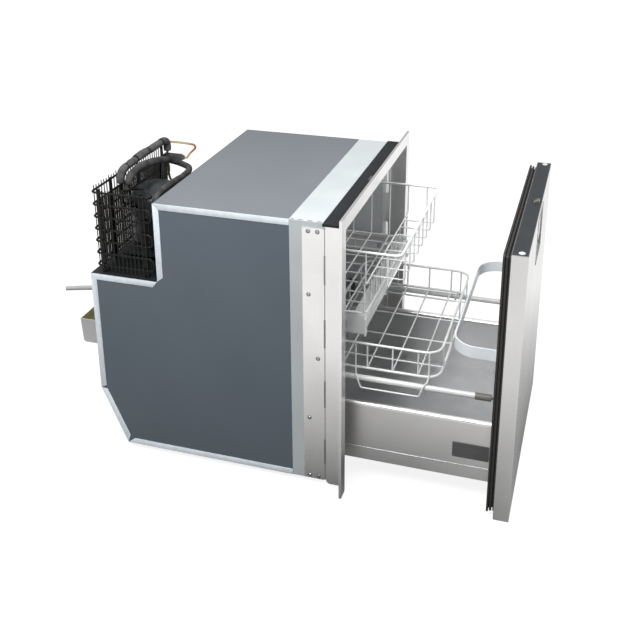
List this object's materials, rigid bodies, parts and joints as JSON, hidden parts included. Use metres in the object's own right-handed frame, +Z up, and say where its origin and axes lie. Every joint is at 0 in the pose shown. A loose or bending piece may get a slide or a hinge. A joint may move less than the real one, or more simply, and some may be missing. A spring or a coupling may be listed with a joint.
{
  "type": "undercounter drawer refrigerator",
  "caption": "Built-in drawer refrigerator with a stainless flush-mount frame, a pull-out insulated drawer with wire baskets, and a cooling unit in a rear notch.",
  "frame": {"origin": "centre of the cabinet's bottom face", "axes": "+Z up, +Y to the rear (the drawer opens towards -Y), +X to the right seen from the front"},
  "size_m": [0.534, 0.8998, 0.5697],
  "materials": {
    "foam": "closed-cell insulating foam, hidden",
    "liner_plastic": "vacuum-formed liner, light grey",
    "side_sheet": "blue-grey coated sheet",
    "top_sheet": "grey coated sheet",
    "edge_trim": "pale folded edge",
    "collar_sheet": "pale coated sheet",
    "stainless": "brushed stainless sheet",
    "dark_plastic": "moulded dark grey plastic",
    "black_strip": "black plastic strip",
    "zinc_steel": "zinc-plated steel",
    "breaker_metal": "satin metal strip",
    "evaporator_metal": "roll-bonded plate",
    "white_plastic": "white moulded plastic",
    "compressor_paint": "black enamel on pressed steel",
    "grommet_rubber": "black rubber",
    "condenser_paint": "black lacquer on steel wire and tube",
    "foam_sleeve": "grey elastomer foam sleeve",
    "copper": "bare copper tube",
    "tray_plastic": "off-white tray",
    "drawer_steel": "satin stainless drawer sheet",
    "cover_plastic": "grey moulded cover",
    "rail_white": "white coated tube",
    "wire_white": "white plastic-coated wire",
    "gasket_rubber": "black soft gasket",
    "retainer_plastic": "translucent white plastic",
    "latch_metal": "nickel-plated bolt",
    "pan_plastic": "white moulded door pan"
  },
  "bodies": {
    "cabinet": {"foam_core": "foam", "inner_liner": "liner_plastic", "bottom_sheet": "top_sheet", "side_sheet_left": "side_sheet", "side_sheet_right": "side_sheet", "top_sheet": "top_sheet", "rear_sheet": "side_sheet", "edge_trim_left": "edge_trim", "edge_trim_right": "edge_trim", "collar": "collar_sheet", "breaker_strip": "breaker_metal", "front_frame": "stainless", "frame_cover_strip": "black_strip", "strap_screws": "zinc_steel", "latch_strike": "zinc_steel", "runner_rails": "zinc_steel", "basket_guides": "zinc_steel", "evaporator": "evaporator_metal", "thermostat_housing": "white_plastic", "unit_base_plate": "compressor_paint", "compressor": "compressor_paint", "compressor_grommets": "grommet_rubber", "control_unit": "dark_plastic", "condenser_tube": "condenser_paint", "condenser_wires_side": "condenser_paint", "condenser_wires_rear": "condenser_paint", "condenser_stays": "condenser_paint", "suction_sleeves": "foam_sleeve", "copper_pipes": "copper", "filter_drier": "black_strip", "drip_tray": "tray_plastic", "drip_tray_bracket": "zinc_steel", "drain_spout": "white_plastic"},
    "drawer": {"drawer_runners": "zinc_steel", "drawer_side_left": "drawer_steel", "drawer_side_right": "drawer_steel", "drawer_floor": "drawer_steel", "drawer_back": "drawer_steel", "side_covers": "cover_plastic", "gallery_rails": "rail_white", "rail_sockets": "cover_plastic", "rail_posts": "cover_plastic", "door_skin": "stainless", "door_core": "foam", "door_liner": "pan_plastic", "door_caps": "dark_plastic", "cap_plugs": "white_plastic", "door_gasket": "gasket_rubber", "latch_housing": "dark_plastic", "bottle_retainer": "retainer_plastic"},
    "middle_members": {"middle_runners": "zinc_steel"},
    "upper_shelf": {"basket_carrier": "zinc_steel", "carrier_end_blocks": "white_plastic", "upper_basket": "wire_white"},
    "lower_basket": {"middle_basket": "wire_white"},
    "paddle": {"latch_paddle": "cover_plastic"},
    "bolt": {"latch_bolt": "latch_metal"},
    "knob": {"thermostat_knob": "white_plastic"}
  },
  "joints": [
    {"name": "drawer_slide", "type": "slide", "parent": "cabinet", "child": "drawer", "axis": [0, 1, 0], "range_m": [0, 0.304]},
    {"name": "middle_member_slide", "type": "slide", "parent": "cabinet", "child": "middle_members", "axis": [0, 1, 0], "range_m": [0, 0.152]},
    {"name": "upper_shelf_slide", "type": "slide", "parent": "cabinet", "child": "upper_shelf", "axis": [0, 1, 0], "range_m": [0, 0.152]},
    {"name": "lower_basket_slide", "type": "slide", "parent": "drawer", "child": "lower_basket", "axis": [0, 1, 0], "range_m": [0, 0.055]},
    {"name": "paddle_hinge", "type": "hinge", "parent": "drawer", "child": "paddle", "pos_m": [0, -0.5478, 0.49], "axis": [-1, 0, 0], "range_deg": [0, 25], "stiffness_Nm_per_rad": 0.05, "springref_deg": -17.19},
    {"name": "bolt_slide", "type": "slide", "parent": "drawer", "child": "bolt", "axis": [0, 0, -1], "range_m": [0, 0.006]},
    {"name": "thermostat_turn", "type": "hinge", "parent": "cabinet", "child": "knob", "pos_m": [0.105, -0.193, 0.4755], "axis": [0, -1, 0], "range_deg": [0, 270]}
  ],
  "couplings": [
    {"joint": "middle_member_slide", "follows": "drawer_slide", "ratio": 0.5},
    {"joint": "upper_shelf_slide", "follows": "drawer_slide", "ratio": 0.5},
    {"joint": "bolt_slide", "follows": "paddle_hinge", "m_per_rad": 0.013751}
  ]
}
